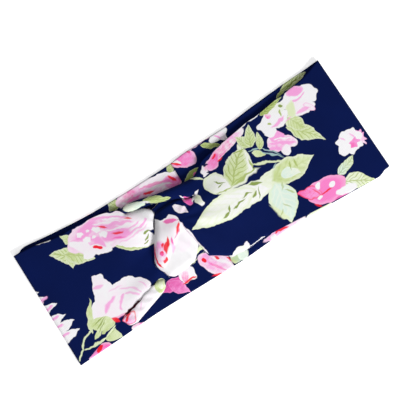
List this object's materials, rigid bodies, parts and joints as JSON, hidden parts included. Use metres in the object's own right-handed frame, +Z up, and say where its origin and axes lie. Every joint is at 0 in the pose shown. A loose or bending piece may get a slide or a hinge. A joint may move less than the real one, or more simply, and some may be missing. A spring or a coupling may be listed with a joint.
{
  "type": "knotted headband",
  "caption": "Wide stretch-jersey headband with a twisted knot off the middle of its front, laid flat; its folded ends open into a round loop for the head.",
  "frame": {"origin": "on the surface the headband lies on, under the middle of its length and width", "axes": "+X along the length towards the wider folded end, +Y across the width, +Z up through the knot"},
  "size_m": [0.24, 0.088, 0.0136],
  "materials": {
    "printed_jersey": "smooth knit with an all-over flower print",
    "inner_jersey": "the same printed knit, on the plies that face the head",
    "thread": "spun polyester sewing thread"
  },
  "bodies": {
    "centre_back": {"left_outer_ply_centre": "printed_jersey", "left_inner_ply_centre": "inner_jersey", "left_seam_allowance": "inner_jersey", "right_outer_ply_centre": "printed_jersey", "right_inner_ply_centre": "inner_jersey", "right_seam_allowance": "inner_jersey", "seam_stitches": "thread"},
    "left_back": {"left_outer_ply_back": "printed_jersey", "left_inner_ply_back": "inner_jersey", "left_outer_fold_lower": "printed_jersey", "left_inner_fold_lower": "inner_jersey"},
    "left_front": {"left_outer_ply_front": "printed_jersey", "left_inner_ply_front": "inner_jersey", "left_outer_fold_upper": "printed_jersey", "left_inner_fold_upper": "inner_jersey", "left_rolled_pleat": "printed_jersey"},
    "right_back": {"right_outer_ply_back": "printed_jersey", "right_inner_ply_back": "inner_jersey", "right_outer_fold_lower": "printed_jersey", "right_inner_fold_lower": "inner_jersey"},
    "right_front": {"right_outer_ply_front": "printed_jersey", "right_inner_ply_front": "inner_jersey", "right_outer_fold_upper": "printed_jersey", "right_inner_fold_upper": "inner_jersey"},
    "left_loop": {"left_outer_ply_gather": "printed_jersey", "left_inner_ply_gather": "inner_jersey", "left_upper_leg": "printed_jersey", "left_lower_leg": "printed_jersey", "left_loop_bend": "printed_jersey"},
    "right_loop": {"right_outer_ply_gather": "printed_jersey", "right_inner_ply_gather": "inner_jersey", "right_return_leg": "inner_jersey", "right_loop_bend": "printed_jersey", "right_knot_wrap": "printed_jersey", "right_wrap_roll": "printed_jersey", "right_front_edge": "printed_jersey"}
  },
  "joints": [
    {"name": "left_back_lift", "type": "hinge", "parent": "centre_back", "child": "left_back", "pos_m": [-0.046, 0, 0.0014], "axis": [0, 1, 0], "range_deg": [0, 65]},
    {"name": "left_end_fold", "type": "hinge", "parent": "left_back", "child": "left_front", "pos_m": [-0.12, 0, 0.0022], "axis": [0, -1, 0], "range_deg": [0, 130]},
    {"name": "left_knot_bend", "type": "hinge", "parent": "left_front", "child": "left_loop", "pos_m": [-0.046, 0, 0.003], "axis": [0, 1, 0], "range_deg": [0, 65]},
    {"name": "right_back_lift", "type": "hinge", "parent": "centre_back", "child": "right_back", "pos_m": [0.046, 0, 0.0014], "axis": [0, -1, 0], "range_deg": [0, 65]},
    {"name": "right_end_fold", "type": "hinge", "parent": "right_back", "child": "right_front", "pos_m": [0.12, 0, 0.0022], "axis": [0, 1, 0], "range_deg": [0, 130]},
    {"name": "right_knot_bend", "type": "hinge", "parent": "right_front", "child": "right_loop", "pos_m": [0.046, 0, 0.003], "axis": [0, -1, 0], "range_deg": [0, 65]}
  ],
  "couplings": [
    {"joint": "left_end_fold", "follows": "left_back_lift", "ratio": 2},
    {"joint": "left_knot_bend", "follows": "left_back_lift", "ratio": 1},
    {"joint": "right_back_lift", "follows": "left_back_lift", "ratio": 1},
    {"joint": "right_end_fold", "follows": "left_back_lift", "ratio": 2},
    {"joint": "right_knot_bend", "follows": "left_back_lift", "ratio": 1}
  ]
}
